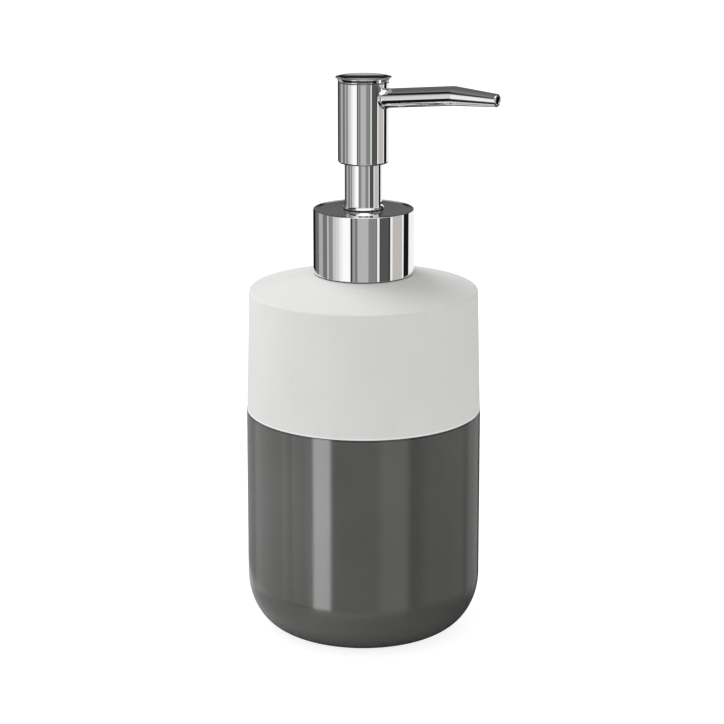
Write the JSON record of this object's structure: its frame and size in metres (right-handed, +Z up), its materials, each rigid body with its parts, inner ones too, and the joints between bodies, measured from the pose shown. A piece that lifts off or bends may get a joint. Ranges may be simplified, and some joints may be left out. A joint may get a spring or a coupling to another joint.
{
  "type": "soap dispenser",
  "caption": "Free-standing soap dispenser: cylindrical ceramic bottle with a rounded foot and a glazed dip, and a chromed screw-on lotion pump with a press-down, swivelling spout.",
  "frame": {"origin": "middle of the flat base that it stands on, on the shared axis of bottle and pump", "axes": "+Z up along that axis, +X the way the spout points at rest"},
  "size_m": [0.0828, 0.0734, 0.1741],
  "materials": {
    "bare_ceramic": "bare matt white ceramic, fine grained",
    "grey_glaze": "glossy dark warm grey glaze",
    "chrome": "bright chrome plating",
    "white_plastic": "moulded white polypropylene",
    "milky_plastic": "moulded natural polyethylene, milky",
    "seal_rubber": "soft grey sealing foam",
    "spring_steel": "drawn stainless wire",
    "ball_steel": "polished stainless ball"
  },
  "bodies": {
    "bottle": {"bottle_body": "bare_ceramic", "glaze_dip": "grey_glaze", "neck_insert": "white_plastic"},
    "seal": {"neck_gasket": "seal_rubber"},
    "pump": {"pump_housing": "milky_plastic", "lock_bush": "white_plastic", "guide_sleeve": "chrome", "ball_cage": "white_plastic", "dip_tube": "milky_plastic", "return_spring": "spring_steel"},
    "collar": {"collar_shell": "chrome", "screw_cap": "white_plastic"},
    "stem": {"piston_rod": "white_plastic", "piston_seat": "white_plastic"},
    "piston": {"piston": "milky_plastic"},
    "head": {"head_barrel": "chrome", "head_core": "white_plastic", "head_cap": "chrome", "nozzle": "chrome"},
    "ball": {"check_ball": "ball_steel"}
  },
  "joints": [
    {"name": "pump_lift_out", "type": "slide", "parent": "bottle", "child": "seal", "axis": [0, 0, 1], "range_m": [0, 0.13]},
    {"name": "thread_rise", "type": "slide", "parent": "seal", "child": "pump", "axis": [0, 0, 1], "range_m": [0, 0.00476]},
    {"name": "collar_turn", "type": "hinge", "parent": "pump", "child": "collar", "pos_m": [0, 0, 0.125], "axis": [0, 0, 1], "range_deg": [0, 540]},
    {"name": "head_press", "type": "slide", "parent": "pump", "child": "stem", "axis": [0, 0, -1], "range_m": [0, 0.0128], "stiffness_N_per_m": 700, "springref_m": -0.012, "deforming": ["return_spring"]},
    {"name": "head_swivel", "type": "hinge", "parent": "stem", "child": "head", "pos_m": [0, 0, 0.16], "axis": [0, 0, 1], "continuous": true},
    {"name": "piston_slip", "type": "slide", "parent": "stem", "child": "piston", "axis": [0, 0, 1], "range_m": [0, 0.0012]},
    {"name": "ball_lift", "type": "slide", "parent": "pump", "child": "ball", "axis": [0, 0, 1], "range_m": [0, 0.0008]}
  ],
  "couplings": [
    {"joint": "thread_rise", "follows": "collar_turn", "m_per_rad": 0.00050532}
  ]
}
